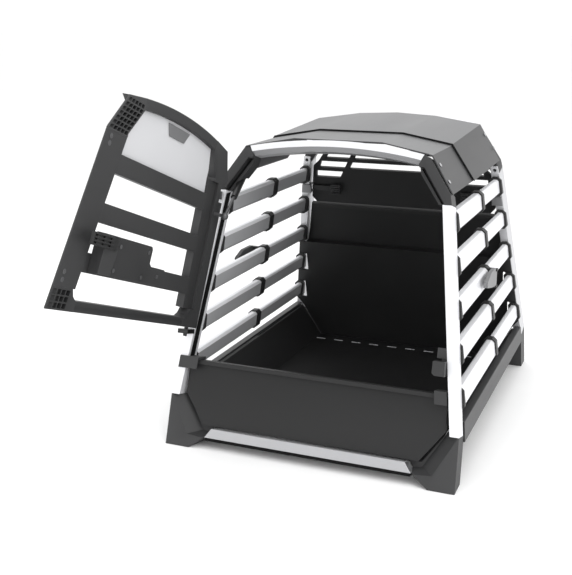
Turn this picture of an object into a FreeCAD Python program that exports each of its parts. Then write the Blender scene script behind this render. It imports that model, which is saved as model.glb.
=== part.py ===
"""Telescoping vehicle dog crate: aluminium frame, plastic castings, sheet roof and a strut-held front door.

Millimetres, +Z up, front facing -Y, origin on the floor midway between the four feet.

Both end frames lean inwards, so most pieces are drawn in the plane of their own end frame: x runs across,
v runs up the slope from the floor and w points outwards, away from the cabin, with w = 0 on the frame's outer face.
"""
import FreeCAD, Part
import os
import re

import Sketcher
from FreeCAD import Placement, Rotation, Vector

DIMS = {
    # overall: half of the footprint and the lean of each face, in degrees or as run per unit of height
    "half_depth": 396, "front_tilt": 15.61, "rear_tilt": 14.57,
    "side_foot_x": 311.8, "side_lean": 0.1370, "bar_lean": 0.1435,
    # feet
    "foot_half_x": 300, "foot_depth": 45, "foot_top_v": 104, "foot_toe_x": 218, "foot_bevel": 25, "foot_hole_radius": 3,
    # uprights and corner castings
    "upright_width": 18, "upright_depth": 38, "rear_upright_depth": 45, "tube_wall": 2,
    "corner_low_v": 527.5, "casting_depth": 40, "casting_recess": 10, "lip_width": 15.5,
    "eave_v": 546.2, "shoulder_x": 189.5, "front_shoulder_v": 613.8, "rear_shoulder_v": 624,
    # arch rails: the end and the crown of the top edge
    "arch_half_x": 178, "arch_depth": 36, "arch_height": 20,
    "front_arch_end_v": 618.8, "rear_arch_end_v": 631.5, "arch_radius": 904,
    # rails, sill and floor
    "rail_low_v": 25, "rail_high_v": 44.6, "rail_end_x": 201, "rail_depth": 30,
    "sill_high_v": 178.6, "sill_plate": 6, "floor_z": 25, "tray_sheet": 3, "tray_top_z": 109,
    "side_rail_low_z": 76, "side_rail_high_z": 112, "side_rail_width": 15,
    # side bars
    "bar_first_z": 136.4, "bar_pitch": 78.9, "bar_height": 38, "bar_thickness": 20, "bar_outer_x": 312.9,
    "bar_mouth_y": 15, "bar_corner": 5, "collar_grow": 3.2, "running_gap": 0.5, "lever_pin_x": 14.5, "lever_pin_radius": 2.5,
    # roof: fold lines, seen along the depth
    "eave_x": 236, "eave_z": 525, "fold_x": 190, "fold_z": 592, "crown_x": 90, "crown_z": 610.5,
    "sheet": 2.5, "seam_y": -66,
    "rear_eave_z": 531, "rear_fold_z": 606, "rear_crown_z": 621.5, "rear_top_z": 626, "roof_rear_y": 204,
    # rear wall and hatch
    "fold_line_v": 417.3, "wall_outer_w": -21, "wall_inner_w": -31, "lower_wall_w": -49, "lower_wall_v": 312.5,
    "latch_v": 461, "slot_height_v": 16.6, "slot_pitch_v": 25.6, "slot_first_v": 487.5,
    # door: drawn closed, on the plane of the front frame
    "door_low_v": 246.6, "door_low_x": 278.7, "door_kink_v": 537.5, "door_kink_x": 238.9,
    "door_lean": 0.1368, "door_inner_w": 1, "door_outer_w": 24, "door_rim_w": 3.5, "door_bevel": 1.6,
    "free_stile": 64, "hinge_stile": 81, "hinge_ridge": 42.5, "corner_low_height": 35.8, "corner_high_v": 533.9,
    "door_shoulder_x": 200, "door_shoulder_v": 598, "door_arch_x": 147, "door_arch_v": 606.4,
    "door_arch_low_v": 588.7, "door_arch_radius": 1107, "door_bar_inner_w": 3, "door_bar_outer_w": 20,
    "lock_bar_v": 310.3, "middle_bar_v": 392.5, "upper_bar_v": 474.1, "door_bar_height": 31.9,
    "lattice_rib": 2.4, "lattice_depth": 12,
    "open_angle": 88.507, "axis_x": -294.67, "axis_y": -411.39, "axis_run_x": 0.111, "axis_run_y": 0.246,
    "pin_radius": 4, "pin_gap": 0.05,
    # door strut
    "strut_radius": 6.5, "rod_radius": 3, "strut_ball": 5,
}

doc = FreeCAD.newDocument("dog_crate")
sheet = doc.addObject("Spreadsheet::Sheet", "dims")
for row, (alias, size) in enumerate(DIMS.items(), start=1):
    sheet.set(f"A{row}", alias)
    sheet.set(f"B{row}", str(size))
    sheet.setAlias(f"B{row}", alias)
doc.recompute()

ALIAS = re.compile(r"\b(" + "|".join(DIMS) + r")\b")
SUBPARTS = {}


# ---------------------------------------------------------------- expressions and placements

def bound(text):
    """A size written with the sheet's aliases, as an expression that other objects can hold."""
    return ALIAS.sub(r"dims.\1", str(text))


def value(text):
    """The number that such an expression stands for now."""
    return float(sheet.evalExpression(bound(text)))


def mirrored(points):
    """The same outline on the other side of the middle plane."""
    return [(f"-({p[0]})",) + tuple(p[1:]) for p in points]


X_AXIS, Z_AXIS = Vector(1, 0, 0), Vector(0, 0, 1)
UPRIGHT_VIEW = Placement(Vector(), Rotation(X_AXIS, 90))
SIDE_VIEW = Placement(Vector(), Rotation(Vector(1, 1, 1), 120))
FRONT = Placement(Vector(0, -value("half_depth"), 0), Rotation(X_AXIS, 90 - value("front_tilt")))
REAR = Placement(
    Vector(0, value("half_depth"), 0),
    Rotation(Z_AXIS, 180).multiply(Rotation(X_AXIS, 90 - value("rear_tilt"))),
)
AXIS_FOOT = Vector(value("axis_x"), value("axis_y"), 0)
AXIS = Vector(value("axis_run_x"), value("axis_run_y"), 1).normalize()
DOOR = Placement(Vector(), Rotation(AXIS, -value("open_angle")), AXIS_FOOT).multiply(FRONT)


# ---------------------------------------------------------------- modelling helpers

def draw_loop(sketch, corners):
    """A closed outline. A corner with a third item starts an arc of that radius, bulging to the right."""
    spots = [Vector(value(c[0]), value(c[1]), 0) for c in corners]
    edges = []
    for corner, start, end in zip(corners, spots, spots[1:] + spots[:1]):
        if len(corner) == 2:
            edges.append(sketch.addGeometry(Part.LineSegment(start, end), False))
            continue
        radius, chord = value(corner[2]), end - start
        rise = radius - (radius ** 2 - chord.Length ** 2 / 4) ** 0.5
        outwards = chord.cross(Z_AXIS).normalize()
        middle = (start + end) * 0.5 + outwards * rise
        edges.append(sketch.addGeometry(Part.Arc(start, middle, end), False))
    for index, corner in enumerate(corners):
        sketch.addConstraint(Sketcher.Constraint("Coincident", edges[index - 1], 2, edges[index], 1))
        for kind, text in (("DistanceX", corner[0]), ("DistanceY", corner[1])):
            number = sketch.addConstraint(Sketcher.Constraint(kind, -1, 1, edges[index], 1, value(text)))
            sketch.setExpression(f"Constraints[{number}]", bound(text))
        if len(corner) == 3:
            number = sketch.addConstraint(Sketcher.Constraint("Radius", edges[index], value(corner[2])))
            sketch.setExpression(f"Constraints[{number}]", bound(corner[2]))


def new_sketch(body, loops, level):
    sketch = body.newObject("Sketcher::SketchObject", "Sketch")
    plane = next(f for f in body.Origin.OriginFeatures if f.Role == "XY_Plane")
    sketch.AttachmentSupport = [(plane, "")]
    sketch.MapMode = "FlatFace"
    sketch.setExpression(".AttachmentOffset.Base.z", bound(level))
    for loop in loops:
        draw_loop(sketch, loop)
    return sketch


def pad(body, loops, low, high):
    """Adds the outlines to the body from level low to level high."""
    feature = body.newObject("PartDesign::Pad", "Pad")
    feature.Profile = new_sketch(body, loops, low)
    feature.setExpression("Length", bound(f"({high}) - ({low})"))
    body.Tip = feature
    return body


def pocket(body, loops, low, high):
    """Cuts the outlines out of the body between level low and level high."""
    feature = body.newObject("PartDesign::Pocket", "Pocket")
    feature.Profile = new_sketch(body, loops, high)
    feature.setExpression("Length", bound(f"({high}) - ({low})"))
    body.Tip = feature
    return body


def prism(placement, loops, low, high, name="Block"):
    """A new body with one pad. loops is one outline or several; an outline inside another is a hole."""
    body = doc.addObject("PartDesign::Body", name)
    body.AllowCompound = True
    pad(body, loops if isinstance(loops[0], list) else [loops], low, high)
    body.Placement = placement
    return body


def cut(base, *tools):
    """base without the tools, one cut for each."""
    for tool in tools:
        feature = doc.addObject("Part::Cut", "Cut")
        feature.Base, feature.Tool = base, tool
        base = feature
    return base


def common(first, second):
    feature = doc.addObject("Part::Common", "Common")
    feature.Base, feature.Tool = first, second
    return feature


def group(*members):
    """Separate solids of identical pieces that share one node."""
    feature = doc.addObject("Part::Compound", "Group")
    feature.Links = list(members)
    return feature


def cylinder(start, direction, radius, length):
    feature = doc.addObject("Part::Cylinder", "Cylinder")
    feature.setExpression("Radius", bound(radius))
    feature.setExpression("Height", bound(length))
    feature.Placement = Placement(start, Rotation(Z_AXIS, direction))
    return feature


def below_floor():
    """Everything under the floor, to trim the feet flat."""
    return prism(UPRIGHT_VIEW, [(-400, 0), (-400, -60), (400, -60), (400, 0)], "-half_depth - 60", "half_depth + 60")


def subpart(label, feature):
    feature.Label = label
    SUBPARTS[label] = feature


def edge_x(height, inset=0):
    """Outer side face of the crate at a height v on an end frame, less an inset."""
    return f"side_foot_x - side_lean * ({height}) - ({inset})"


def door_edge_x(height, inset=0):
    """Door's side edge at a height v, less an inset."""
    return f"door_low_x - door_lean * (({height}) - door_low_v) - ({inset})"


SIDES = {"left": mirrored, "right": list}


# ---------------------------------------------------------------- end frames, front and rear

def foot(placement, turn):
    """Splayed foot with a bevelled inner shelf, trimmed flat on the floor."""
    outline = [("foot_half_x", -14), ("foot_half_x", 0), (edge_x("foot_top_v"), "foot_top_v - 0.1"),
               (edge_x("foot_top_v", "upright_width + 0.2"), "foot_top_v - 0.1"),
               (edge_x("foot_top_v", "upright_width + 9"), "foot_top_v + 4"), (228, 46), ("rail_end_x + 2.5", 46),
               ("foot_toe_x - 1", 24), (226, 17), (248, 0), (252, -14)]
    shelf = [(edge_x("foot_top_v", 1), "foot_top_v + 8"), (edge_x("foot_top_v", 1), "foot_top_v"), (255, 27),
             (190, 21), (190, "foot_top_v + 8")]
    inner_shelf = [(272, "foot_top_v + 8"), (272, "foot_top_v + 3.9"), (229, 36), (190, 31),
                   (190, "foot_top_v + 8")]
    body = prism(placement, turn(outline), "-foot_depth", 0)
    wedge = doc.addObject("Part::Loft", "Wedge")
    outer, inner = (flat_face(placement, turn(shape), level)
                    for shape, level in ((shelf, 0.5), (inner_shelf, "-foot_bevel")))
    wedge.Sections, wedge.Solid, wedge.Ruled = [outer, inner], True, True
    return cut(body, wedge, below_floor())


def flat_face(placement, corners, level):
    """A closed outline at one level of a placement, as a section for a loft."""
    spots = [placement.multVec(Vector(value(x), value(y), value(level))) for x, y in corners]
    feature = doc.addObject("Part::Feature", "Section")
    feature.Shape = Part.makePolygon(spots + spots[:1])
    return feature


def upright(placement, turn, depth, tongue=()):
    """Hollow aluminium post that leans with the side of the crate."""
    outline = [(edge_x("foot_top_v"), "foot_top_v"), (edge_x("corner_low_v"), "corner_low_v"),
               (edge_x("corner_low_v", "upright_width"), "corner_low_v"),
               (edge_x("foot_top_v", "upright_width"), "foot_top_v")]
    bore = [(edge_x("foot_top_v - 1", "tube_wall"), "foot_top_v - 1"),
            (edge_x("corner_low_v + 1", "tube_wall"), "corner_low_v + 1"),
            (edge_x("corner_low_v + 1", "upright_width - tube_wall"), "corner_low_v + 1"),
            (edge_x("foot_top_v - 1", "upright_width - tube_wall"), "foot_top_v - 1")]
    post = prism(placement, turn(outline), f"-({depth})", 0)
    hollow = prism(placement, turn(bore), f"tube_wall - ({depth})", "-tube_wall")
    post = cut(post, hollow)
    if not tongue:
        return post
    fuse = doc.addObject("Part::Fuse", "PostWithTongue")
    fuse.Base, fuse.Tool = post, tongue[0]
    return cut(fuse, tongue[1])


def corner_casting(placement, turn, shoulder, arch_end, recessed):
    """Top corner: joins upright and arch rail, with a lip round a recessed inner face."""
    low_inner = "upright_width" if not recessed else "upright_width + 9"
    outline = [(edge_x("corner_low_v"), "corner_low_v"), (235.5, "eave_v"), ("shoulder_x", shoulder),
               ("arch_half_x + 0.8", f"{arch_end} - 2.3"), ("arch_half_x - 8.8", f"{arch_end} - 18"),
               ("arch_half_x - 5", f"{arch_end} - 36"),
               (edge_x("corner_low_v", f"{low_inner} + 4"), "corner_low_v + 6"),
               (edge_x("corner_low_v", low_inner), "corner_low_v")]
    body = prism(placement, turn(outline), "-casting_depth", 0)
    if recessed:
        lip = edge_x("corner_low_v", "lip_width")
        recess = [(lip, "corner_low_v - 5"), (lip, "corner_low_v + 3"), ("arch_half_x + 2", f"{arch_end} - 24"),
                  ("arch_half_x - 22", f"{arch_end} - 24"), ("arch_half_x - 22", "corner_low_v - 5")]
        groove = [(lip, "corner_low_v + 2"), ("arch_half_x + 2", f"{arch_end} - 24"),
                  ("arch_half_x - 4", f"{arch_end} - 26"), (edge_x("corner_low_v", "lip_width + 6"), "corner_low_v + 2")]
        pocket(body, [turn(recess)], "-casting_recess", 0)
        pocket(body, [turn(groove)], "-2.2 * casting_recess", "-casting_recess")
    return body


def curved_band(placement, half_low, low_v, half_high, high_v, radius, low, high):
    """Band between two arcs that both bow upwards."""
    crown = f"(({radius}) - sqrt(({radius}) * ({radius}) - ({half_high}) * ({half_high})))"
    ground = [(f"-({half_high})", f"({high_v}) - 80"), (half_high, f"({high_v}) - 80"),
              (half_high, high_v, radius), (f"-({half_high})", high_v)]
    under = [("-400", f"({low_v}) - 90"), ("400", f"({low_v}) - 90"), ("400", low_v), (half_low, low_v, radius),
             (f"-({half_low})", low_v), ("-400", low_v)]
    end_x, foot_x = f"({half_high}) - 0.05", f"({half_low}) - 0.05"
    half = [(foot_x, f"({low_v}) - 5"), (foot_x, low_v), (end_x, high_v), (end_x, f"({high_v}) + {crown} + 5")]
    ends = half + list(reversed(mirrored(half)))
    upper = common(prism(placement, ground, low, high), prism(placement, ends, low, high))
    return cut(upper, prism(placement, under, f"({low}) - 1", f"({high}) + 1"))


def bottom_rail(placement):
    outline = [("-foot_toe_x + 3", "rail_low_v"), ("foot_toe_x - 3", "rail_low_v"), ("rail_end_x", "rail_high_v"),
               ("-rail_end_x", "rail_high_v")]
    bore = [(-230, "rail_low_v + tube_wall"), (230, "rail_low_v + tube_wall"), (230, "rail_high_v - tube_wall"),
            (-230, "rail_high_v - tube_wall")]
    rail = prism(placement, outline, "-rail_depth", 0)
    return cut(rail, prism(placement, bore, "tube_wall - rail_depth", "-tube_wall"))


def build_end_frames():
    for end, placement in (("front", FRONT), ("rear", REAR)):
        depth = "upright_depth" if end == "front" else "rear_upright_depth"
        shoulder, arch_end = f"{end}_shoulder_v", f"{end}_arch_end_v"
        for side in SIDES:
            turn = SIDES[side] if end == "front" else SIDES["left" if side == "right" else "right"]
            subpart(f"{end}_foot_{side}", cut(foot(placement, turn), foot_bolt_hole(end, side)))
            tongue = screw_tongue(placement, turn) if end == "rear" else ()
            subpart(f"{end}_upright_{side}", upright(placement, turn, depth, tongue))
            corner = corner_casting(placement, turn, shoulder, arch_end, recessed=end == "front")
            if (end, side) == ("front", "left"):
                corner = cut(corner, *strut_path())
            subpart(f"{end}_top_corner_{side}", corner)
        arch = curved_band(placement, "arch_half_x - 9.5", f"{arch_end} - 19.3", "arch_half_x", arch_end,
                           "arch_radius", "-arch_depth", 0)
        subpart(f"{end}_arch_rail", bevelled_arch(placement, arch, arch_end))
        subpart(f"{end}_bottom_rail", bottom_rail(placement))


def bevelled_arch(placement, arch, arch_end):
    """The arch with a sloping top band and an undercut below its nose, both as cones about the arcs' centres."""
    radius = value("arch_radius")
    tools = []
    for half, end_v, level, low_r, high_r in (("arch_half_x", arch_end, -37, 11.5, -7.5),
                                              ("arch_half_x - 9.5", f"{arch_end} - 19.3", -10, -1, 10)):
        centre_v = value(end_v) - (radius ** 2 - value(half) ** 2) ** 0.5
        cone = doc.addObject("Part::Cone", "Cone")
        cone.setExpression("Radius1", bound(f"arch_radius + {low_r}"))
        cone.setExpression("Radius2", bound(f"arch_radius + {high_r}"))
        cone.Height = 1 - level
        cone.Placement = placement.multiply(Placement(Vector(0, centre_v, level), Rotation()))
        tools.append(cone)
    return cut(common(arch, tools[0]), tools[1])


def foot_bolt_hole(end, side):
    """Blind screw hole in the underside of a foot."""
    x = 275 if side == "right" else -275
    y = -value("half_depth") + 24 if end == "front" else value("half_depth") - 24
    return cylinder(Vector(x, y, -1), Z_AXIS, "foot_hole_radius", 19)


def screw_tongue(placement, turn):
    """Plate that carries the cabin side of a rear post up over its casting, and the screw hole in it."""
    low = "corner_low_v - 1"
    outline = [(edge_x(low, 0.5), low), (edge_x(545, 1.5), 545), (edge_x(545, "upright_width"), 545),
               (edge_x(low, "upright_width"), low)]
    plate = prism(placement, turn(outline), "-rear_upright_depth", "-casting_depth - 0.2", "Tongue")
    spot = turn([(edge_x(536, "upright_width / 2"), 536)])[0]
    start = placement.multVec(Vector(value(spot[0]), value(spot[1]), -value("rear_upright_depth") - 1))
    return plate, cylinder(start, placement.Rotation.multVec(Z_AXIS), 4.2, 8)


# ---------------------------------------------------------------- front sill, rails, floor

def build_sill():
    edge = [(224, 48), (270, 110), ("266", "sill_high_v")]
    outline = edge + list(reversed(mirrored(edge)))
    lip = [("267.2", "sill_high_v - 8"), ("266.2", "sill_high_v"), ("-266.2", "sill_high_v"),
           ("-267.2", "sill_high_v - 8")]
    panel = prism(FRONT, outline, "-12 - sill_plate", -12, "Sill")
    pad(panel, [lip], -30, -5)
    subpart("sill_panel", panel)
    clips = []
    for side, turn in SIDES.items():
        face = [(287, 160), (284.5, 185)] if side == "left" else [(269.5, 160), (266.3, 185)]
        face += [(243, 185), (246, 160)]
        cap = [(266.5, 179.2), (266.5, 185), (243, 185), (243, 179.2)]
        clip = prism(FRONT, turn(face), 0.6, 3.6, "Clip")
        pad(clip, [turn(cap)], -31, 0.6)
        clips.append(clip)
    subpart("sill_clips", group(*clips))
    subpart("rail_seal", prism(FRONT, [(-213, 18.5), (213, 18.5), (214, 24.4), (-214, 24.4)], -28, -2))


def tray_section(drop, top_z):
    """Cross-section of a floor tray: flat floor with outward-sloping walls and a turned-out top edge."""
    drop, top_z = f"({drop})", f"({top_z})"
    wall = [(f"281 + {drop}", top_z), (f"271 + {drop}", top_z), (f"229 + {drop}", f"floor_z - {drop} + tray_sheet")]
    inner = wall[1:] + list(reversed(mirrored(wall[1:])))
    outer_right = [("281", f"{top_z} - tray_sheet"), (f"271 + {drop} + tray_sheet", f"{top_z} - tray_sheet"),
                   (f"229 + {drop} + tray_sheet", f"floor_z - {drop}")]
    outer = outer_right + list(reversed(mirrored(outer_right)))
    return [("281", top_z)] + inner + [("-281", top_z)] + list(reversed(outer))


def slope_trim(end, gap):
    """Everything beyond an end frame's inner side at a distance gap behind its face."""
    placement = FRONT if end == "front" else REAR
    return prism(placement, [(-400, -200), (400, -200), (400, 700), (-400, 700)], f"-({gap})", 300)


def build_floor():
    front = prism(UPRIGHT_VIEW, tray_section("0", "tray_top_z"), -20, "half_depth + 20", "FrontTray")
    subpart("front_floor_tray", cut(front, slope_trim("front", 46)))
    rear = prism(UPRIGHT_VIEW, tray_section("running_gap + tray_sheet", "tray_top_z - tray_sheet - running_gap"),
                 "-half_depth - 20", 140, "RearTray")
    slots = [prism(UPRIGHT_VIEW, [(f"{x} - 12", 0), (f"{x} + 12", 0), (f"{x} + 12", 40), (f"{x} - 12", 40)],
                   -305, -299, "Slot") for x in [48.6 * (step - 4.5) for step in range(10)]]
    subpart("rear_floor_tray", cut(rear, slope_trim("rear", "0.5 - lower_wall_w"), *slots))


def rail_section(turn, inset):
    """Hollow side rail; inset moves the whole section inside itself, for the sliding inner rail."""
    inset = f"({inset})"
    low, high = f"side_rail_low_z + {inset}", f"side_rail_high_z - {inset}"
    outer_low, outer_high = f"301 - {inset}", f"296.5 - {inset}"
    inner_low, inner_high = f"301 - side_rail_width + {inset}", f"296.5 - side_rail_width + {inset}"
    wall = "tube_wall"
    return [turn([(outer_low, low), (outer_high, high), (inner_high, high), (inner_low, low)]),
            turn([(f"{outer_low} - {wall}", f"{low} + {wall}"), (f"{outer_high} - {wall}", f"{high} - {wall}"),
                  (f"{inner_high} + {wall}", f"{high} - {wall}"), (f"{inner_low} + {wall}", f"{low} + {wall}")])]


def build_side_rails():
    outer_rails, inner_rails = [], []
    for turn in SIDES.values():
        front = prism(UPRIGHT_VIEW, rail_section(turn, "0"), "76 - half_depth", "half_depth + 10", "Rail")
        outer_rails.append(cut(front, slope_trim("front", "foot_depth + 0.2")))
        rear = prism(UPRIGHT_VIEW, rail_section(turn, "tube_wall + running_gap"), "-half_depth", -60, "InnerRail")
        inner_rails.append(cut(rear, slope_trim("rear", "foot_depth + 0.2")))
    subpart("side_rails", group(*outer_rails))
    subpart("inner_side_rails", group(*inner_rails))


# ---------------------------------------------------------------- side bars

def bar_x(height, inset=0):
    return f"bar_outer_x - bar_lean * ({height}) - ({inset})"


def bar_loop(turn, index, grow):
    """Cross-section of one bar with cut corners, grown outwards by grow (or shrunk where negative)."""
    corner = f"(bar_corner + 0.586 * ({grow}))"
    low = f"bar_first_z + bar_pitch * {index} - ({grow})"
    high = f"bar_first_z + bar_pitch * {index} + bar_height + ({grow})"
    outer, inner = f"-({grow})", f"bar_thickness + ({grow})"
    return turn([(bar_x(f"{low} + {corner}", outer), f"{low} + {corner}"),
                 (bar_x(f"{high} - {corner}", outer), f"{high} - {corner}"),
                 (bar_x(high, f"{outer} + {corner}"), high), (bar_x(high, f"{inner} - {corner}"), high),
                 (bar_x(f"{high} - {corner}", inner), f"{high} - {corner}"),
                 (bar_x(f"{low} + {corner}", inner), f"{low} + {corner}"),
                 (bar_x(low, f"{inner} - {corner}"), low), (bar_x(low, f"{outer} + {corner}"), low)])


def frame_y(end, height, behind):
    """Depth position of a plane behind an end frame's face, at a height above the floor."""
    sign, lean = ("-", "tan(front_tilt)") if end == "front" else ("", "-tan(rear_tilt)")
    offset = f"({behind}) / cos({end}_tilt)" if end == "front" else f"-({behind}) / cos({end}_tilt)"
    return f"({sign}half_depth + ({height}) * {lean} + {offset})"


def build_bars():
    for side, turn in SIDES.items():
        tubes, inner_tubes = [], []
        for index in range(5):
            high = f"bar_first_z + bar_pitch * {index} + bar_height + 2"
            start = frame_y("front", high, "upright_depth + 3")
            end = frame_y("rear", high, "rear_upright_depth + 8")
            tubes.append(prism(UPRIGHT_VIEW, [bar_loop(turn, index, 0), bar_loop(turn, index, "-tube_wall")],
                               "-bar_mouth_y", f"-{start}", "Tube"))
            shrink = "-tube_wall - running_gap"
            inner_tubes.append(prism(
                UPRIGHT_VIEW,
                [bar_loop(turn, index, shrink), bar_loop(turn, index, f"{shrink} - tube_wall")],
                f"-{end}", "150 - bar_mouth_y", "InnerTube"))
        subpart(f"outer_bars_{side}", group(*tubes))
        subpart(f"inner_bars_{side}", group(*inner_tubes))
    build_bar_sockets()
    build_collars()


def build_bar_sockets():
    """Plastic sockets that hold the bars against the four uprights."""
    for end, depth, length in (("front", "upright_depth", 3), ("rear", "rear_upright_depth", 8)):
        sockets = []
        for turn in SIDES.values():
            for index in range(5):
                high = f"bar_first_z + bar_pitch * {index} + bar_height + 2"
                face = frame_y(end, high, f"{depth} + {length}")
                low_level, high_level = (f"-{face}", "half_depth + 10") if end == "front" else ("-half_depth - 10", f"-{face}")
                grow = 2.2 if end == "front" else 3
                block = prism(UPRIGHT_VIEW, bar_loop(turn, index, grow), low_level, high_level, "Socket")
                sockets.append(cut(block, slope_trim(end, f"{depth} + 0.1")))
        subpart(f"{end}_bar_sockets", group(*sockets))


def lever_pin(side):
    """Foot of the clamp lever's pin, on the outside of the third bar's collar."""
    outwards = 1 if side == "right" else -1
    top = value("bar_first_z + bar_pitch * 2 + bar_height")
    return Vector(outwards * (value(bar_x(top)) + value("lever_pin_x")), value("bar_mouth_y") - 8, top)


def build_collars():
    """Plastic collars round the mouths of the outer tubes; the third on each side carries a clamp lever."""
    collars = []
    for side, turn in SIDES.items():
        for index in range(5):
            loops = [bar_loop(turn, index, "collar_grow"), bar_loop(turn, index, 0.05)]
            collar = prism(UPRIGHT_VIEW, loops, "-bar_mouth_y - 0.1", "15 - bar_mouth_y", "Collar")
            lips = [bar_loop(turn, index, "collar_grow"), bar_loop(turn, index, "-tube_wall")]
            pad(collar, lips, "-bar_mouth_y - 3", "-bar_mouth_y - 0.1")
            if index == 2:
                collar = with_lever_ears(collar, side)
            collars.append(collar)
    subpart("bar_collars", group(*collars))


def with_lever_ears(collar, side):
    """The third collar with two ears and the lever's pin between them."""
    pin = lever_pin(side)
    outwards = 1 if side == "right" else -1
    ears = []
    for low, high, root in ((-42, -37.5, -12.9), (-5.5, -1, -13.6)):
        ear = doc.addObject("Part::Box", "Ear")
        ear.Length, ear.Width, ear.Height = 6 - root, 12, high - low
        start = pin.x + root if side == "right" else pin.x - 6
        ear.Placement.Base = Vector(start, pin.y - 6, pin.z + low)
        ears.append(ear)
    ears.append(cylinder(pin - Z_AXIS * 40, Z_AXIS, "lever_pin_radius", 38))
    fuse = doc.addObject("Part::MultiFuse", "CollarWithEars")
    fuse.Shapes = [collar] + ears
    return fuse


def build_clamp_levers():
    """Cam levers that clamp the third bars; each swings outwards on the pin at its collar."""
    for side in SIDES:
        pin = lever_pin(side)
        outline = [(4, -37), (4, -6), (-10, -6), (-14, 4), (-62, 4), (-95, -8), (-95, -20), (-52, -30), (-12, -37)]
        spots = [(pin.y + y, pin.z + z) for y, z in outline]
        lever = prism(SIDE_VIEW, list(reversed(spots)), pin.x - 4.2, pin.x + 4.2, "Lever")
        bore = cylinder(pin - Z_AXIS * 45, Z_AXIS, "lever_pin_radius + pin_gap", 50)
        subpart(f"clamp_lever_{side}", cut(lever, bore))


# ---------------------------------------------------------------- roof

def roof_profile(grow, eave, fold, crown, top):
    """Right half to left half of one face of the folded roof, offset outwards by grow."""
    half = [(f"eave_x + {grow}", f"{eave} + {grow} * 0.3"), (f"fold_x + {grow} * 0.7", f"{fold} + {grow}"),
            (f"crown_x + {grow} * 0.1", f"{crown} + {grow}")]
    return half + [("0", f"{top} + {grow}")] + list(reversed(mirrored(half)))


def build_roof():
    heights = ("eave_z", "fold_z", "crown_z", "crown_z")
    outline = roof_profile("0", *heights) + list(reversed(roof_profile("sheet", *heights)))
    front = prism(UPRIGHT_VIEW, outline, "-110", "half_depth", "FrontRoof")
    arch_clearance = prism(FRONT, [(-184, 300), (184, 300), (184, 700), (-184, 700)], -12, 300)
    subpart("front_roof", cut(front, slope_trim("front", 9), arch_clearance))
    rise = "(sheet + 0.8)"
    sections = []
    for level, names in (("seam_y", heights), ("roof_rear_y", tuple(
            f"rear_{name}_z" for name in ("eave", "fold", "crown", "top")))):
        loop = roof_profile(rise, *names) + list(reversed(roof_profile(f"({rise} + sheet)", *names)))
        sections.append(flat_face(UPRIGHT_VIEW, loop, f"-({level})"))
    rear = doc.addObject("Part::Loft", "RearRoof")
    rear.Sections, rear.Solid, rear.Ruled = sections, True, True
    subpart("rear_roof", rear)
    build_roof_screws()


def build_roof_screws():
    """Countersunk screws through the eaves into the corner castings, two at each corner."""
    run, rise = value("eave_x - fold_x"), value("fold_z - eave_z")
    slope = Vector(run, 0, -rise).normalize()
    for end, lift in (("front", 0), ("rear", 3.3)):
        screws = []
        for sign in (1, -1):
            for along in (22, 58):
                fold_z = value("fold_z") if end == "front" else value("rear_fold_z") - 1
                spot = Vector(value("fold_x"), 0, fold_z) + slope * along
                normal = Vector(rise, 0, run).normalize()
                behind = 22 if end == "front" else value("arch_depth") + 16
                spot.y = value(frame_y(end, spot.z, behind))
                spot = spot + normal * (value("sheet") + lift + 0.6)
                spot.x, normal.x = sign * spot.x, sign * normal.x
                head = cylinder(spot, normal, 4.2, 1.4)
                screws.append(head)
        subpart(f"{end}_roof_screws", group(*screws))


# ---------------------------------------------------------------- rear wall and hatch

def slotted_row(low_v, left, right):
    """One grille slot whose ends lean with the diagonal ribs."""
    high_v = f"{low_v} + slot_height_v"
    return [(left(low_v), low_v), (right(low_v), low_v), (right(high_v), high_v), (left(high_v), high_v)]


def lower_wall_outline():
    """Right half of the lower wall, bottom to top: up the tray's slope, then tabs over the post between the bars."""
    corners = [(229, 34), (271, 118), (279, 131)]
    for index in range(3):
        low, high = (f"(bar_first_z + bar_pitch * {index} + {rise}) / cos(rear_tilt) + 12" for rise in (-4, 42))
        notch = [bar_x(f"bar_first_z + bar_pitch * {index} + 44", "bar_thickness + 4")] * 2
        if index < 2:
            above = f"bar_first_z + bar_pitch * {index + 1} - 5"
            corners += [(edge_x(low, 1), f"{low} - 4"), (edge_x(low, 1), low)] if index == 0 else [(edge_x(low, 1), low)]
            corners += [(notch[0], low), (notch[1], high), (edge_x(high, 1), high)]
        else:
            corners += [(edge_x(low, 1), low)]
    return corners


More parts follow.
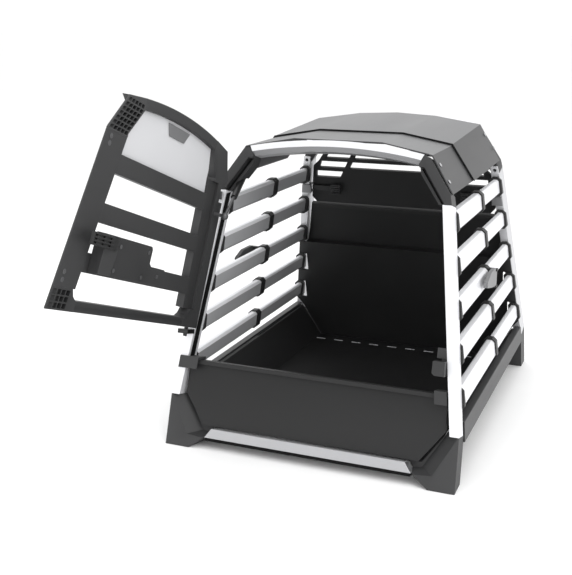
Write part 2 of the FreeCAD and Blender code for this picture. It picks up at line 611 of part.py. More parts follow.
def build_rear_wall():
    """Upper plate below the hatch, and a deeper lower plate with a shelf between them."""
    upper = [(edge_x("fold_line_v", "upright_width + 5"), "fold_line_v - 1"),
             (edge_x(304, "upright_width + 1"), 304)]
    outline = upper + list(reversed(mirrored(upper)))
    panel = prism(REAR, outline, "wall_inner_w", "wall_outer_w", "RearWall")
    ledge = [("-230", "fold_line_v - 9"), ("230", "fold_line_v - 9"), ("230", "fold_line_v - 1"),
             ("-230", "fold_line_v - 1")]
    pad(panel, [ledge], "wall_inner_w - 7", "wall_inner_w")
    shelf = [(edge_x(304, "upright_width + 1"), 304), (edge_x("lower_wall_v", "upright_width + 1"), "lower_wall_v")]
    pad(panel, [shelf + list(reversed(mirrored(shelf)))], "lower_wall_w", "wall_inner_w")
    lower = lower_wall_outline()
    pad(panel, [lower + list(reversed(mirrored(lower)))], "lower_wall_w", "-rear_upright_depth - 0.3")
    subpart("rear_wall", panel)

    keepers = []
    for turn in SIDES.values():
        low, high = "latch_v - 11", "latch_v + 11"
        side_x = "upright_width + 0.2"
        block = [(edge_x(low, side_x), low), (edge_x(high, side_x), high), (224, high), (224, low)]
        flange = [(edge_x(low, 1), low), (edge_x(high, 1), high), (224, high), (224, low)]
        mouth = [(223, "latch_v - 6.8"), (229, "latch_v - 6.8"), (229, "latch_v + 7.2"), (223, "latch_v + 7.2")]
        keeper = prism(REAR, turn(block), -50, "wall_inner_w - 0.2", "Keeper")
        pad(keeper, [turn(flange)], -50, "-rear_upright_depth - 0.2")
        pocket(keeper, [turn(mouth)], "wall_inner_w - 9", "wall_inner_w - 0.2")
        keepers.append(keeper)
    subpart("hatch_keepers", group(*keepers))


def build_hatch():
    """Emergency hatch: a grille panel that folds down outwards about the wall's top edge."""
    diagonal = "(121 + (522 - (%s)) * 0.52)"
    half = [(218, "fold_line_v + 3"), (edge_x(434, "upright_width + 5"), 434), ("219", 516.6), (205, 529),
            (166, 584.8), (160, 599.3), (80, 611.7)]
    outline = half + [("0", 615.8)] + list(reversed(mirrored(half)))
    grille = []
    for row, slot_end in enumerate((213, 203, 184)):
        low_v = f"slot_first_v + slot_pitch_v * {row}"
        grille.append(slotted_row(low_v, lambda level: diagonal % level + " + 13",
                                  lambda level: f"{slot_end} - (({level}) - ({low_v})) * {0.1 + 0.25 * row}"))
        grille.append(list(reversed(mirrored(grille[-1]))))
        if row > 0:
            grille.append(slotted_row(low_v, lambda level: f"-({diagonal % level})", lambda level: diagonal % level))
    low_v = "slot_first_v + slot_pitch_v * 3"
    grille.append(slotted_row(low_v, lambda level: "-162", lambda level: "162"))
    panel = prism(REAR, [outline] + grille, "wall_inner_w", "wall_outer_w", "Hatch")
    subpart("hatch_panel", panel)

    for side in SIDES:
        turn = SIDES["left" if side == "right" else "right"]
        bar = [(150, "latch_v - 6.4"), (223.5, "latch_v - 6.4"), (223.5, "latch_v + 6.8"), (150, "latch_v + 6.8")]
        knob = [(149, "latch_v - 12.5"), (173, "latch_v - 12.5"), (173, "latch_v + 12.5"), (149, "latch_v + 12.5")]
        latch = prism(REAR, turn(bar), "wall_inner_w - 8.5", "wall_inner_w - 0.5", "Latch")
        pad(latch, [turn(knob)], "wall_inner_w - 15", "wall_inner_w - 8.5")
        ribs = [turn([(151, low), (171, low), (171, f"{low} + 2.6"), (151, f"{low} + 2.6")])
                for low in ("latch_v - 11", "latch_v - 5", "latch_v + 1", "latch_v + 7")]
        pad(latch, ribs, "wall_inner_w - 17.5", "wall_inner_w - 15")
        subpart(f"hatch_latch_{side}", latch)


# ---------------------------------------------------------------- door

def build_door_stiles():
    """Free side: a wide flat plate. Hinge side: a plate with a ridge and a notch for the upper bracket."""
    low, high = "door_low_v + corner_low_height", "corner_high_v"
    free = [(door_edge_x(low), low), (door_edge_x(high), high), (door_edge_x(high, "free_stile"), high),
            (door_edge_x(low, "free_stile"), low)]
    stile = prism(DOOR, free, "door_inner_w", "door_outer_w - 2", "FreeStile")
    subpart("door_free_stile", cut(stile, door_bolt_bore(), edge_bevel("low", "kink")))

    def strip(from_inset, to_inset):
        return mirrored([(door_edge_x(low, from_inset), low), (door_edge_x(high, from_inset), high),
                         (door_edge_x(high, to_inset), high), (door_edge_x(low, to_inset), low)])

    hinge = prism(DOOR, strip(0, 10), 7, "door_outer_w + 2", "HingeStile")
    pad(hinge, [strip(10, "hinge_ridge")], "door_inner_w", "door_outer_w + 2")
    pad(hinge, [strip("hinge_ridge", "hinge_stile")], "door_inner_w + 5", "door_outer_w - 2")
    notch = mirrored([(260, 500), (260, 530), (door_edge_x(530, 26), 530), (door_edge_x(500, 26), 500)])
    body = pocket(hinge, [notch], -5, 40)
    subpart("door_hinge_stile", cut(body, hinge_bore(490, 50)))


def build_door_corners():
    bottom_corners, top_corners = [], []
    for side, turn in (("free", list), ("hinge", mirrored)):
        # bottom corner, with a fillet into the bottom rail
        high = "door_low_v + corner_low_height"
        outline = [("door_low_x", "door_low_v"), (door_edge_x(high), high), (door_edge_x(high, 57), high),
                   (door_edge_x(high, 63), "door_low_v + 24"), (door_edge_x(high, 74), "door_low_v + 17.1"),
                   (door_edge_x(high, 74), "door_low_v")]
        relief = 7 if side == "hinge" else "door_inner_w"
        strip = [("door_low_x", "door_low_v"), (door_edge_x(high), high), (door_edge_x(high, 10), high),
                 ("door_low_x - 10", "door_low_v")]
        inner = [("door_low_x - 10", "door_low_v")] + [(door_edge_x(high, 10), high)] + outline[2:]
        corner = prism(DOOR, turn(strip), relief, "door_outer_w", "BottomCorner")
        pad(corner, [turn(inner)], "door_inner_w", "door_outer_w")
        if side == "free":
            cut_lattice(corner, value("door_low_v") + 3, 10.6, 3, lambda level: value(door_edge_x(level)) - 52,
                        lambda level: value(door_edge_x(level)) - 4, 4)
            bottom_corners.append(cut(corner, door_bolt_bore(), edge_bevel("low", "kink")))
        else:
            bottom_corners.append(cut(corner, hinge_bore(235, 40)))

        # top corner, between stile and arch
        top = [(door_edge_x("corner_high_v"), "corner_high_v"), ("door_kink_x", "door_kink_v"),
               ("door_shoulder_x", "door_shoulder_v"), ("door_arch_x", "door_arch_v"),
               ("door_arch_x - 5", "door_arch_low_v"), (176, 540),
               (door_edge_x("corner_high_v", "free_stile"), "corner_high_v")]
        head = prism(DOOR, turn(top), "door_inner_w", "door_outer_w", "TopCorner")

        def right(level):
            run = (value("door_kink_x") - value("door_shoulder_x")) / (value("door_shoulder_v") - value("door_kink_v"))
            return value("door_kink_x") - run * max(0, level - value("door_kink_v")) - 3.5

        def left(level):
            return max(149, 179.5 - max(0, level - 540) * (176 - 142) / (588.7 - 540))

        if side == "free":
            cut_lattice(head, 537, 8.6, 7, left, right, 5)
            head = cut(head, edge_bevel("low", "kink"), edge_bevel("kink", "shoulder"))
        top_corners.append(head)
    subpart("door_bottom_corners", group(*bottom_corners))
    subpart("door_top_corners", group(*top_corners))


def edge_bevel(start, end):
    """Tool that bevels the door's outer side along its free edge, from one named corner up to the next."""
    first, last = (Vector(value(f"door_{name}_x"), value(f"door_{name}_v"), 0) for name in (start, end))
    along = (last - first).normalize()
    turned = Rotation(Vector(-along.y, along.x, 0), Z_AXIS, along, "ZXY")
    outline = [(-12, "door_rim_w"), (0, "door_rim_w"), ("door_bevel * (30 - door_rim_w)", 30), (-12, 30)]
    return prism(DOOR.multiply(Placement(first, turned)), outline, -9, (last - first).Length + 9, "Bevel")


def cut_lattice(body, low_v, row_height, rows, left_x, right_x, cells):
    """Rows of open cells, cut into the face that looks into the cabin."""
    rib = value("lattice_rib")
    loops = []
    for row in range(rows):
        bottom, top = low_v + row * row_height, low_v + (row + 1) * row_height - rib
        spans = []
        for level in (bottom, top):
            start, end = left_x(level), right_x(level)
            pitch = (end - start + rib) / cells
            spans.append([(start + pitch * n, start + pitch * (n + 1) - rib) for n in range(cells)])
        for low, high in zip(*spans):
            loops.append([(low[0], bottom), (low[1], bottom), (high[1], top), (high[0], top)])
    pocket(body, loops, "door_inner_w", "door_inner_w + lattice_depth")


def build_door_members():
    subpart("door_arch", curved_band(DOOR, "door_arch_x - 5", "door_arch_low_v", "door_arch_x", "door_arch_v",
                                     "door_arch_radius", "door_inner_w", "door_outer_w"))
    high = "door_low_v + corner_low_height"
    rail_end = door_edge_x(high, 74.2)
    rail = [(rail_end, "door_low_v"), (rail_end, "door_low_v + 17.1"), (f"-({rail_end})", "door_low_v + 17.1"),
            (f"-({rail_end})", "door_low_v")]
    step = [("door_low_v + 2.5", 0), ("door_low_v + 2.5", 1), ("door_low_v + 9", 6), ("door_low_v + 18", 6),
            ("door_low_v + 18", 0)]
    ledge = prism(DOOR.multiply(SIDE_VIEW), step, -230, 230, "Ledge")
    subpart("door_bottom_rail", cut(prism(DOOR, rail, "door_inner_w", "door_outer_w"), ledge))
    bars = []
    for low in ("lock_bar_v", "middle_bar_v", "upper_bar_v"):
        top = f"({low} + door_bar_height)"
        bar = [(door_edge_x(low, "free_stile + 0.1"), low), (door_edge_x(top, "free_stile + 0.1"), top),
               (f"-({door_edge_x(top, 'hinge_stile + 0.1')})", top),
               (f"-({door_edge_x(low, 'hinge_stile + 0.1')})", low)]
        bars.append(prism(DOOR, bar, "door_bar_inner_w", "door_bar_outer_w"))
    subpart("door_lock_bar", bars[0])
    subpart("door_bars", group(*bars[1:]))
    low = "upper_bar_v + door_bar_height + 0.2"
    window = [(door_edge_x(low, "free_stile + 0.3"), low), (175, "corner_high_v"), (175, 540),
              ("door_arch_x - 5.3", "door_arch_low_v - 0.4", "door_arch_radius"),
              ("-door_arch_x + 5.3", "door_arch_low_v - 0.4"), (-156, 548), (-156.5, 533),
              (f"-({door_edge_x(low, 'hinge_stile + 0.3')})", low)]
    subpart("door_window", prism(DOOR, window, 9, 12))
    subpart("door_plaque", prism(DOOR, [(32, 571), (45, 592), (-41, 592), (-26, 571)], 6.5, 8.9))


def build_lock():
    """Housing on the lock bar, its cover plate, the ribbed knob and the bolt inside the free stile."""
    face = "door_bar_inner_w - 0.1"
    housing = [(189, "lock_bar_v + 1"), (189, 379), (28, 379), (23.6, 374), (22, 350), (14, "344.7"), (-38, 344.7),
               (-45, 338), (-45, 317), (-38, "lock_bar_v + 1")]
    case = prism(DOOR, housing, -14, face, "LockHousing")
    cover = [(189, "lock_bar_v + 4"), (189, 379), (150, 379), (146, 350), (151, "lock_bar_v + 4")]
    subpart("lock_housing", pad(case, [cover], -17.5, -14))
    knob = prism(DOOR, [(155, 356), (237, 356), (237, 377), (155, 377)], -21, -17.8, "LockKnob")
    pad(knob, [[(181, 356), (237, 356), (237, 377), (181, 377)]], -24.5, -21)
    ribs = [[(181.5, v), (236.5, v), (236.5, v + 2.6), (181.5, v + 2.6)] for v in (356.5, 362.3, 368.1, 373.9)]
    pad(knob, ribs, -28, -24.5)
    posts = [[(x, 357), (x + 2.5, 357), (x + 2.5, 376), (x, 376)] for x in (186, 207.7, 229.5)]
    pad(knob, posts, -26.8, -24.5)
    subpart("lock_knob", knob)
    subpart("latch_bolt", door_rod("pin_radius", "door_low_v + 1", 50))
    heads = [(135, 364.5), (37, 367.5), (140, 324), (43.5, 323), (-12.6, 330)]
    stile_bolts = [(223, 525.5), (223, 514), (253.5, 306.5), (253.6, 294)]
    screws = [door_stud(x, v, 3.6, -15.6, 1.55) for x, v in heads]
    screws += [door_stud(x, v, 4.2, 0.4, 0.6) for x, v in stile_bolts]
    screws.append(door_stud(STRUT_FOOT_CLOSED[0], STRUT_FOOT_CLOSED[1], 3.5, -14, 15))
    subpart("door_fasteners", group(*screws))


def door_stud(x, v, radius, low, length):
    """Round head standing off a door piece."""
    start = DOOR.multVec(Vector(x, v, low))
    return cylinder(start, DOOR.Rotation.multVec(Z_AXIS), radius, length)


def door_rod(radius, low_v, length):
    """Rod up the free stile, parallel to the front frame's slope."""
    start = DOOR.multVec(Vector(249, value(low_v), 9))
    return cylinder(start, DOOR.Rotation.multVec(Vector(0, 1, 0)), radius, length)


def door_bolt_bore():
    return door_rod("pin_radius + 0.5", "door_low_v - 5", 75)


def hinge_bore(low_v, length):
    """Bore for a hinge pin, cut through a door piece that is already turned to its open place."""
    low = value(low_v) * 0.9631
    start = AXIS_FOOT + AXIS * (low / AXIS.z)
    return cylinder(start, AXIS, "pin_radius + pin_gap", length)


# ---------------------------------------------------------------- door hardware on the frame

def build_hinge_brackets():
    lower = prism(FRONT, mirrored([(260, 231), (282, 231), (282, 240), (260, 240)]), 0.1, 31, "LowerBracket")
    upper = prism(FRONT, mirrored([(229, 507), (251, 507), (250, 523), (229, 523)]), 0.1, 38, "UpperBracket")
    brackets = []
    for block, low_v, length in ((lower, 232, 26), (upper, 494, 42)):
        start = AXIS_FOOT + AXIS * (low_v * 0.9631 / AXIS.z)
        fuse = doc.addObject("Part::Fuse", "Bracket")
        fuse.Base, fuse.Tool = block, cylinder(start, AXIS, "pin_radius", length)
        brackets.append(fuse)
    subpart("hinge_brackets", group(*brackets))


def build_strike():
    """Catch on the right upright's inner side; the bolt drops into its lower block."""
    inner = edge_x(232, "upright_width + 0.2")
    lower = [(238, 217), (243, 213), (inner, 213), (edge_x(240, "upright_width + 0.2"), 240), (238, 240)]
    strike = prism(FRONT, lower, -16, 17, "Strike")
    upper = [(241, 245), (edge_x(245, "upright_width + 0.2"), 245), (edge_x(264, "upright_width + 0.2"), 264),
             (241, 264)]
    web = [(250, 238), (edge_x(238, "upright_width + 0.2"), 238), (edge_x(247, "upright_width + 0.2"), 247),
           (250, 247)]
    pad(strike, [web], -14, -4)
    pad(strike, [upper], -16, -2)
    hole = cylinder(FRONT.multVec(Vector(249, 224, 9)), FRONT.Rotation.multVec(Vector(0, 1, 0)), 5, 20)
    subpart("door_strike", cut(strike, hole))


STRUT_TOP = Vector(-205, -180.2, 546.8)
STRUT_FOOT_CLOSED = (-211.8, 475.2, -22.5)
SWING_AXIS = Vector(0.14429, 0.77566, 0.61444)
SWING_ANGLE = 109.69


def strut_foot():
    """Lower end of the strut with the door open."""
    opened = Placement(Vector(), Rotation(AXIS, -value("open_angle")), AXIS_FOOT)
    return opened.multVec(FRONT.multVec(Vector(*STRUT_FOOT_CLOSED)))


def ball(centre, radius):
    feature = doc.addObject("Part::Sphere", "Ball")
    feature.setExpression("Radius", bound(radius))
    feature.Placement.Base = centre
    return feature


def strut_path():
    """Room for the strut's cylinder as it swings while the door closes."""
    along = (strut_foot() - STRUT_TOP).normalize()
    turns = [Rotation(SWING_AXIS, SWING_ANGLE * step / 8) for step in range(9)]
    return [cylinder(STRUT_TOP, turn.multVec(along), "strut_radius + 1", 100) for turn in turns]


def build_strut():
    """Gas strut from a ball stud under the front roof to the door's hinge stile."""
    run = strut_foot() - STRUT_TOP
    along = Vector(run).normalize()
    roof_normal = Vector(value("eave_z - fold_z"), 0, value("eave_x - fold_x")).normalize()
    mount = doc.addObject("Part::MultiFuse", "StrutMount")
    mount.Shapes = [ball(STRUT_TOP, "strut_ball"), cylinder(STRUT_TOP, roof_normal, 3, 12),
                    cylinder(STRUT_TOP + roof_normal * 9.8, roof_normal, 8, 2.2)]
    subpart("strut_mount", mount)
    barrel = cylinder(STRUT_TOP + along * 3.5, along, "strut_radius", 102.5)
    bore = cylinder(STRUT_TOP + along * 12, along, "rod_radius + pin_gap", 100)
    subpart("strut_cylinder", cut(barrel, bore, ball(STRUT_TOP, "strut_ball + pin_gap")))
    rod = doc.addObject("Part::Fuse", "Rod")
    rod.Base = cylinder(STRUT_TOP + along * 65, along, "rod_radius", run.Length - 65)
    rod.Tool = ball(strut_foot(), 7)
    subpart("strut_rod", rod)


# ---------------------------------------------------------------- build, check, export

build_end_frames()
build_sill()
build_floor()
build_side_rails()
build_bars()
build_clamp_levers()
build_roof()
build_rear_wall()
build_hatch()
build_door_stiles()
build_door_corners()
build_door_members()
build_lock()
build_hinge_brackets()
build_strike()
build_strut()
doc.recompute()

faults = [o.Label for o in doc.Objects if "Invalid" in o.State or "Error" in o.State]
faults += [label for label, o in SUBPARTS.items() if o.Shape.isNull() or not o.Shape.isValid()]
if faults:
    raise RuntimeError("failed features: " + ", ".join(faults))

os.makedirs("parts", exist_ok=True)
for label, feature in SUBPARTS.items():
    feature.Shape.exportStep(f"parts/{label}.step")
print(len(SUBPARTS), "sub-parts written")
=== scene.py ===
import math

import bmesh
import bpy
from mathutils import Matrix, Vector


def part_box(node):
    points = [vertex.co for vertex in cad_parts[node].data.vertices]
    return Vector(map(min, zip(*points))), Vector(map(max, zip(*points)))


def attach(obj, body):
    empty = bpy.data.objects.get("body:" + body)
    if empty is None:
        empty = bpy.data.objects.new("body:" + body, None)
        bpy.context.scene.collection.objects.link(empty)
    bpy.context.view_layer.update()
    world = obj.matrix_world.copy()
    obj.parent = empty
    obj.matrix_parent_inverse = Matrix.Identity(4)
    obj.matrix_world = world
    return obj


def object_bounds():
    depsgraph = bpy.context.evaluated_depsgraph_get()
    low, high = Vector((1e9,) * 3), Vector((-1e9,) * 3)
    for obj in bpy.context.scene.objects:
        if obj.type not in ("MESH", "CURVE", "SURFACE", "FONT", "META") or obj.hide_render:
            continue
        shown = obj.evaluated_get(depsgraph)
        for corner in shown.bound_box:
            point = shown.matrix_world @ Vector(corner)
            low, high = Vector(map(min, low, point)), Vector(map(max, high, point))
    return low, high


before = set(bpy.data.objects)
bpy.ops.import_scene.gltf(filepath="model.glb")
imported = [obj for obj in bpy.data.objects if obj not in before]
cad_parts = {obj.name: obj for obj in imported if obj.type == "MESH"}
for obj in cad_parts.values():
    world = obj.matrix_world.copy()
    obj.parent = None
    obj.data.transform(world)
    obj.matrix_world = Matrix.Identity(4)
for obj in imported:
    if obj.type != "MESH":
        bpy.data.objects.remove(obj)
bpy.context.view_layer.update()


# ---------------------------------------------------------------- materials

# sockets of the Mix node in colour mode
MIX_FACTOR, MIX_A, MIX_B, MIX_RESULT = 0, 6, 7, 2

CLOUD_SCALE = 7.0            # slow change of tone and gloss, per metre
BUMP_DEPTH = 0.0003          # height of the grain, m
EDGE_START, EDGE_FULL = 0.52, 0.60      # pointiness at which the paler edge, partly wear and partly painted highlight, begins and is complete


def grey(v):
    """Linear colour of an sRGB grey level, a little cool."""
    c = v / 255
    c = c / 12.92 if c <= 0.04045 else ((c + 0.055) / 1.055) ** 2.4
    return (c * 0.99, c * 0.995, c * 1.02)


def new_node(tree, kind, **values):
    """A node with some of its input sockets set; a name's underscores stand for spaces."""
    node = tree.nodes.new(kind)
    for key, value in values.items():
        node.inputs[key.replace("_", " ")].default_value = value
    return node


def link(tree, a, out, b, into):
    tree.links.new(a.outputs[out], b.inputs[into])


def ramp_of(tree, stops):
    """A two-stop colour ramp from (position, colour) pairs."""
    ramp = tree.nodes.new("ShaderNodeValToRGB")
    for element, (position, colour) in zip(ramp.color_ramp.elements, stops):
        element.position = position
        element.color = (*colour, 1)
    return ramp


def new_material(name, colour, rough, metal=0.0, grain=900.0, bump=0.05, stretch=(1, 1, 1), shade=0.06,
                 wear_and_highlight=0.0, spread=0.06, specular=0.3, painted_shade_by_facing=None):
    """A finish with uneven tone and roughness, a grain bump and paler edges, which are partly wear and
    partly a painted highlight.

    The last argument is painted shade that darkens faces by which way they look; it holds (share of the
    tone on the lower faces, share on the upper faces, the height of the surface normal where the change
    starts, and the height where it ends)."""
    material = bpy.data.materials.new(name)
    material.use_nodes = True
    tree = material.node_tree
    shader = tree.nodes["Principled BSDF"]
    shader.inputs["Metallic"].default_value = metal
    shader.inputs["Specular IOR Level"].default_value = specular

    place = new_node(tree, "ShaderNodeTexCoord")
    scale = new_node(tree, "ShaderNodeMapping", Scale=stretch)
    link(tree, place, "Object", scale, "Vector")
    cloud = new_node(tree, "ShaderNodeTexNoise", Scale=CLOUD_SCALE, Detail=4.0)
    link(tree, scale, "Vector", cloud, "Vector")
    tone = ramp_of(tree, [(0.3, [c * (1 - shade) for c in colour]),
                          (0.7, [min(1.0, c * (1 + shade)) for c in colour])])
    link(tree, cloud, "Fac", tone, "Fac")

    fine = new_node(tree, "ShaderNodeTexNoise", Scale=grain, Detail=3.0)
    link(tree, scale, "Vector", fine, "Vector")
    gloss = new_node(tree, "ShaderNodeMapRange", From_Min=0.25, From_Max=0.75,
                     To_Min=max(0.05, rough - spread), To_Max=min(1.0, rough + spread))
    link(tree, cloud, "Fac", gloss, "Value")
    link(tree, gloss, "Result", shader, "Roughness")
    relief = new_node(tree, "ShaderNodeBump", Strength=bump, Distance=BUMP_DEPTH)
    link(tree, fine, "Fac", relief, "Height")
    link(tree, relief, "Normal", shader, "Normal")

    surface = new_node(tree, "ShaderNodeNewGeometry")
    edges = ramp_of(tree, [(EDGE_START, (0, 0, 0)), (EDGE_FULL, (wear_and_highlight, wear_and_highlight, wear_and_highlight))])
    link(tree, surface, "Pointiness", edges, "Fac")
    edge_wear_and_highlight = new_node(tree, "ShaderNodeMix")
    edge_wear_and_highlight.data_type = "RGBA"
    # paler edge colour: partly wear, partly a painted highlight on the edges
    edge_wear_and_highlight.inputs[MIX_B].default_value = (*[min(1.0, c * 1.6 + 0.03) for c in colour], 1)
    link(tree, edges, "Color", edge_wear_and_highlight, MIX_FACTOR)
    link(tree, tone, "Color", edge_wear_and_highlight, MIX_A)
    last = edge_wear_and_highlight
    # painted shade: faces are darkened by which way their normal looks, imitating how light falls on them
    if painted_shade_by_facing:
        low_share, high_share, start, end = painted_shade_by_facing
        split = new_node(tree, "ShaderNodeSeparateXYZ")
        link(tree, surface, "Normal", split, "Vector")
        painted_shade_factor = new_node(tree, "ShaderNodeMapRange", From_Min=start, From_Max=end,
                        To_Min=low_share, To_Max=high_share)
        link(tree, split, "Z", painted_shade_factor, "Value")
        last = new_node(tree, "ShaderNodeMix")
        last.data_type, last.blend_type = "RGBA", "MULTIPLY"
        last.inputs[MIX_FACTOR].default_value = 1.0
        link(tree, edge_wear_and_highlight, MIX_RESULT, last, MIX_A)
        link(tree, painted_shade_factor, "Result", last, MIX_B)
    link(tree, last, MIX_RESULT, shader, "Base Color")
    return material


# name: colour, roughness, metal, grain, bump, stretch along the grain, and further settings
FINISH = {
    "silver": new_material("Silver", grey(236), 0.38, 0.35, 500, 0.05, (1, 1, 0.06), 0.03, specular=0.4),
    "rear_silver": new_material("RearSilver", grey(205), 0.4, 0.4, 500, 0.05, (1, 1, 0.06), 0.04),
    # painted shade: the arch is darker on faces that look down
    "arch": new_material("ArchSilver", grey(240), 0.36, 0.35, 500, 0.05, (0.06, 1, 1), 0.03,
                         painted_shade_by_facing=(0.35, 0.9, -0.15, 0.15)),
    "low_rail": new_material("RailSilver", grey(180), 0.34, 0.5, 500, 0.05, (0.06, 1, 1), 0.05),
    # painted shade: the bars are darker on faces that look down
    "bar": new_material("BarSilver", grey(240), 0.42, 0.3, 500, 0.06, (1, 0.06, 1), 0.03,
                        painted_shade_by_facing=(0.3, 1.0, -0.3, 0.1)),
    "moulded": new_material("Moulded", grey(46), 0.5, 0, 1500, 0.12, shade=0.08, wear_and_highlight=0.35),
    "casting": new_material("Casting", grey(46), 0.45, 0, 1200, 0.12, shade=0.08, wear_and_highlight=0.35),
    "foot": new_material("Foot", grey(52), 0.5, 0, 1400, 0.12, shade=0.08, wear_and_highlight=0.35),
    "rail": new_material("Rail", grey(52), 0.4, 0, 1200, 0.08, (1, 0.1, 1), 0.06, wear_and_highlight=0.3),
    "panel": new_material("Panel", grey(30), 0.45, 0, 1400, 0.1, shade=0.07, wear_and_highlight=0.3),
    # painted shade: the roof's flanks, which look aside, are darker than its top
    "roof": new_material("Roof", grey(108), 0.42, 0.1, 900, 0.06, (1, 0.2, 1), 0.04, specular=0.35,
                         painted_shade_by_facing=(0.35, 1.0, 0.55, 1.0)),
    "tray": new_material("Tray", grey(36), 0.55, 0, 1500, 0.2, shade=0.1, wear_and_highlight=0.2, specular=0.3),
    "wall": new_material("Wall", grey(33), 0.5, 0, 1500, 0.2, shade=0.1, wear_and_highlight=0.2, specular=0.3),
    "rubber": new_material("Rubber", grey(12), 0.7, 0, 1200, 0.15, shade=0.12, specular=0.15),
    "window": new_material("Window", grey(206), 0.35, 0, 1200, 0.04, shade=0.01, specular=0.2),
    "plate": new_material("Plate", grey(112), 0.4, 0.1, 1200, 0.06, shade=0.04),
    "steel": new_material("Steel", grey(185), 0.3, 0.8, 900, 0.04, shade=0.03),
    "bolt": new_material("DarkSteel", grey(92), 0.35, 0.6, 900, 0.05, shade=0.05, wear_and_highlight=0.4),
    "black": new_material("BlackSteel", grey(22), 0.3, 0.1, 1200, 0.08, shade=0.1, wear_and_highlight=0.4, specular=0.5),
    "clamp": new_material("Clamp", grey(28), 0.45, 0, 1500, 0.12, shade=0.08, wear_and_highlight=0.4),
    "lever": new_material("Lever", grey(118), 0.42, 0.1, 1200, 0.08, shade=0.05, wear_and_highlight=0.3),
    "dark_lever": new_material("DarkLever", grey(46), 0.42, 0, 1200, 0.08, shade=0.05, wear_and_highlight=0.3),
    "keeper": new_material("Keeper", grey(110), 0.45, 0, 1200, 0.08, shade=0.05, wear_and_highlight=0.3),
    # painted light: pale finish of the strip that stands in for the floor seen through the drain slots
    "pale": new_material("Pale", grey(235), 0.6, 0, 1200, 0.05, shade=0.02),
}
WINDOW_ALPHA = 0.9
FINISH["window"].node_tree.nodes["Principled BSDF"].inputs["Alpha"].default_value = WINDOW_ALPHA

NODE_FINISH = {
    "bar_collars": "clamp", "clamp_lever_left": "dark_lever", "clamp_lever_right": "lever",
    "door_plaque": "plate", "door_window": "window", "door_fasteners": "bolt",
    "front_arch_rail": "arch", "rear_arch_rail": "arch", "front_bar_sockets": "clamp",
    "rear_bar_sockets": "clamp", "front_bottom_rail": "low_rail", "rear_bottom_rail": "low_rail",
    "front_floor_tray": "tray", "rear_floor_tray": "tray", "front_roof": "roof", "rear_roof": "roof",
    "front_roof_screws": "steel", "rear_roof_screws": "steel", "hatch_panel": "wall", "rear_wall": "wall",
    "hatch_keepers": "keeper", "latch_bolt": "black", "lock_knob": "black", "rail_seal": "rubber",
    "sill_panel": "panel", "strut_cylinder": "black", "strut_rod": "bolt", "strut_mount": "black",
    "side_rails": "rail", "inner_side_rails": "rail", "hinge_brackets": "black",
    "front_upright_left": "silver", "front_upright_right": "silver",
    "rear_upright_left": "rear_silver", "rear_upright_right": "rear_silver",
}
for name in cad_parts:
    if name.startswith(("inner_bars", "outer_bars")):
        NODE_FINISH[name] = "bar"
    elif "top_corner_" in name:
        NODE_FINISH[name] = "casting"
    elif "_foot_" in name:
        NODE_FINISH[name] = "foot"
    NODE_FINISH.setdefault(name, "moulded")

# edge rounding by finish, m
ROUNDING = {"casting": 0.0022, "foot": 0.0015, "steel": 0.0003, "bolt": 0.0004, "roof": 0.0006}
PLAIN_ROUNDING = 0.001


def soften(piece, width):
    """Merged flat faces with rounded edges, all as modifiers."""
    weld = piece.modifiers.new("Weld", "WELD")
    weld.merge_threshold = 1e-5
    flat = piece.modifiers.new("Flat", "DECIMATE")
    flat.decimate_type = "DISSOLVE"
    flat.angle_limit = math.radians(0.6)
    edge = piece.modifiers.new("Edge", "BEVEL")
    edge.width, edge.segments = width, 2
    edge.limit_method, edge.angle_limit = "ANGLE", math.radians(30)
    edge.use_clamp_overlap = True
    edge.harden_normals = True
    piece.data.shade_smooth()
    piece.modifiers.new("Smooth", "WEIGHTED_NORMAL").keep_sharp = False


for name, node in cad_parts.items():
    finish = NODE_FINISH[name]
    node.data.materials.clear()
    node.data.materials.append(FINISH[finish])
    soften(node, ROUNDING.get(finish, PLAIN_ROUNDING))


# ---------------------------------------------------------------- added pieces

def strip(name, line, side, up, finish, body):
    """A bar of rectangular section along a line of points; side and up are its two edge vectors."""
    corners, faces = [], []
    for spot in line:
        corners += [spot, spot + side, spot + side + up, spot + up]
    for index in range(len(line) - 1):
        a = index * 4
        faces += [(a + i, a + (i + 1) % 4, a + 4 + (i + 1) % 4, a + 4 + i) for i in range(4)]
    faces += [(0, 1, 2, 3), tuple(len(corners) - 4 + i for i in (3, 2, 1, 0))]
    mesh = bpy.data.meshes.new(name)
    mesh.from_pydata([tuple(c) for c in corners], [], faces)
    mesh.materials.append(FINISH[finish])
    piece = bpy.data.objects.new(name, mesh)
    bpy.context.scene.collection.objects.link(piece)
    work = bmesh.new()
    work.from_mesh(mesh)
    bmesh.ops.recalc_face_normals(work, faces=work.faces)
    work.to_mesh(mesh)
    work.free()
    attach(piece, body)


def points_of(name):
    return [v.co.copy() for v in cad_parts[name].data.vertices]


def painted_seam_shadow():
    """Black strip along the seam between the two roofs, just in front of the rear roof's front edge:
    painted shadow of the gap under that edge.
    """
    edge_depth = 2e-4            # points this close to the front plane belong to the edge
    same_x, clearly_above = 0.003, 1e-4
    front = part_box("rear_roof")[0].y
    crest = {}
    for spot in points_of("rear_roof"):
        key = round(spot.x, 3)
        if spot.y < front + edge_depth and (key not in crest or spot.z > crest[key].z):
            crest[key] = spot
    line = [crest[key] for key in sorted(crest)]
    line = [c for c in line
            if not any(abs(c.x - o.x) < same_x and o.z > c.z + clearly_above for o in line)]
    # painted shadow: a dark strip along the seam
    strip("painted_seam_shadow", [c + Vector((0, -0.0025, -0.0012)) for c in line], Vector((0, 0.0024, 0)),
          Vector((0, 0, 0.0018)), "rubber", "rear_half")


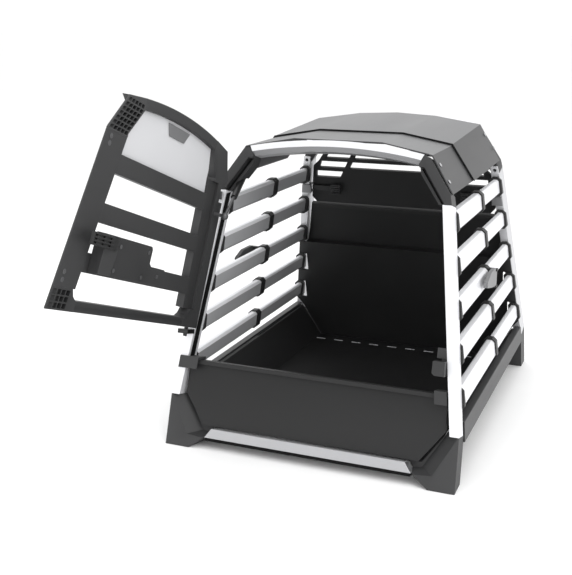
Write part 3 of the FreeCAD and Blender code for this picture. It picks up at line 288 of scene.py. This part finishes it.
def painted_slot_light_strip():
    """Pale strip inside the tray floor, showing only in the drain slots: painted light standing in for the
    bright floor seen through them.
    """
    slot_y, slot_reach = 0.302, 0.006        # where the row of slots runs, and how far they reach
    half_row, half_strip = 0.2, 0.235
    depth, thickness, margin = 0.0015, 0.001, 0.001
    slots = [c for c in points_of("rear_floor_tray")
             if abs(c.x) < half_row and abs(c.y - slot_y) < slot_reach]
    level = max(c.z for c in slots)
    first, last = min(c.y for c in slots), max(c.y for c in slots)
    strip("painted_slot_light_strip", [Vector((x, first - margin, level - depth)) for x in (-half_strip, half_strip)],
          Vector((0, last - first + 2 * margin, 0)), Vector((0, 0, thickness)), "pale", "rear_half")


def upright_seal():
    """Dark seal along the left front upright's inner side."""
    foot_height, head_height = 0.08, 0.12    # lengths at each end that give the inner face's line
    first_share, last_share = 0.15, 0.98     # part of that line that the seal covers
    offset = Vector((0.0002, 0.006, 0))
    low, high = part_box("front_upright_left")
    side = points_of("front_upright_left")
    foot = [c for c in side if c.z < low.z + foot_height]
    head = [c for c in side if c.z > high.z - head_height]
    bottom = Vector((max(c.x for c in foot), min(c.y for c in foot), min(c.z for c in foot)))
    top = Vector((max(c.x for c in head), min(c.y for c in head), max(c.z for c in head)))
    strip("upright_seal", [bottom.lerp(top, first_share) + offset, bottom.lerp(top, last_share) + offset],
          Vector((0.0012, 0, 0)), Vector((0, 0.018, 0)), "rubber", "front_half")


painted_seam_shadow()
painted_slot_light_strip()
upright_seal()


# ---------------------------------------------------------------- stage

FLOOR_REACH = 60.0           # half the floor's side, m
FLOOR_DROP = 0.0005          # gap under the feet, m
low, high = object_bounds()
floor_mesh = bpy.data.meshes.new("floor")
work = bmesh.new()
bmesh.ops.create_grid(work, x_segments=2, y_segments=2, size=FLOOR_REACH)
work.to_mesh(floor_mesh)
work.free()
floor = bpy.data.objects.new("floor", floor_mesh)
floor.location = (0, 0, low.z - FLOOR_DROP)
bpy.context.scene.collection.objects.link(floor)
floor_finish = new_material("Floor", (0.93, 0.93, 0.93), 0.8, 0.0, 60, 0.02, shade=0.01)
floor_mesh.materials.append(floor_finish)

world = bpy.data.worlds.new("World")
world.use_nodes = True
backdrop = world.node_tree.nodes["Background"]
backdrop.inputs["Color"].default_value = (1, 1, 1, 1)
backdrop.inputs["Strength"].default_value = 1.08
bpy.context.scene.world = world


def area(name, at, toward, size, power):
    """A square soft light; size in metres, power in watts."""
    light = bpy.data.lights.new(name, "AREA")
    light.size = size
    light.energy = power
    lamp = bpy.data.objects.new(name, light)
    lamp.location = at
    lamp.rotation_euler = (Vector(toward) - Vector(at)).to_track_quat("-Z", "Y").to_euler()
    bpy.context.scene.collection.objects.link(lamp)


MIDDLE = (0, 0, 0.3)
area("Key", (2.2, -2.0, 2.6), MIDDLE, 2.0, 44)
area("Fill", (-2.4, -1.6, 1.6), MIDDLE, 2.5, 15)
area("Top", (0, 0.2, 3.0), MIDDLE, 2.5, 26)

camera_data = bpy.data.cameras.new("Camera")
camera_data.lens = 60.96
camera_data.sensor_width = 36.0
camera = bpy.data.objects.new("Camera", camera_data)
camera.location = (0.6291, -2.0080, 0.8361)
camera.rotation_euler = (math.radians(74.69), 0, math.radians(22.32))
bpy.context.scene.collection.objects.link(camera)
bpy.context.scene.camera = camera
bpy.context.scene.view_settings.view_transform = "Standard"
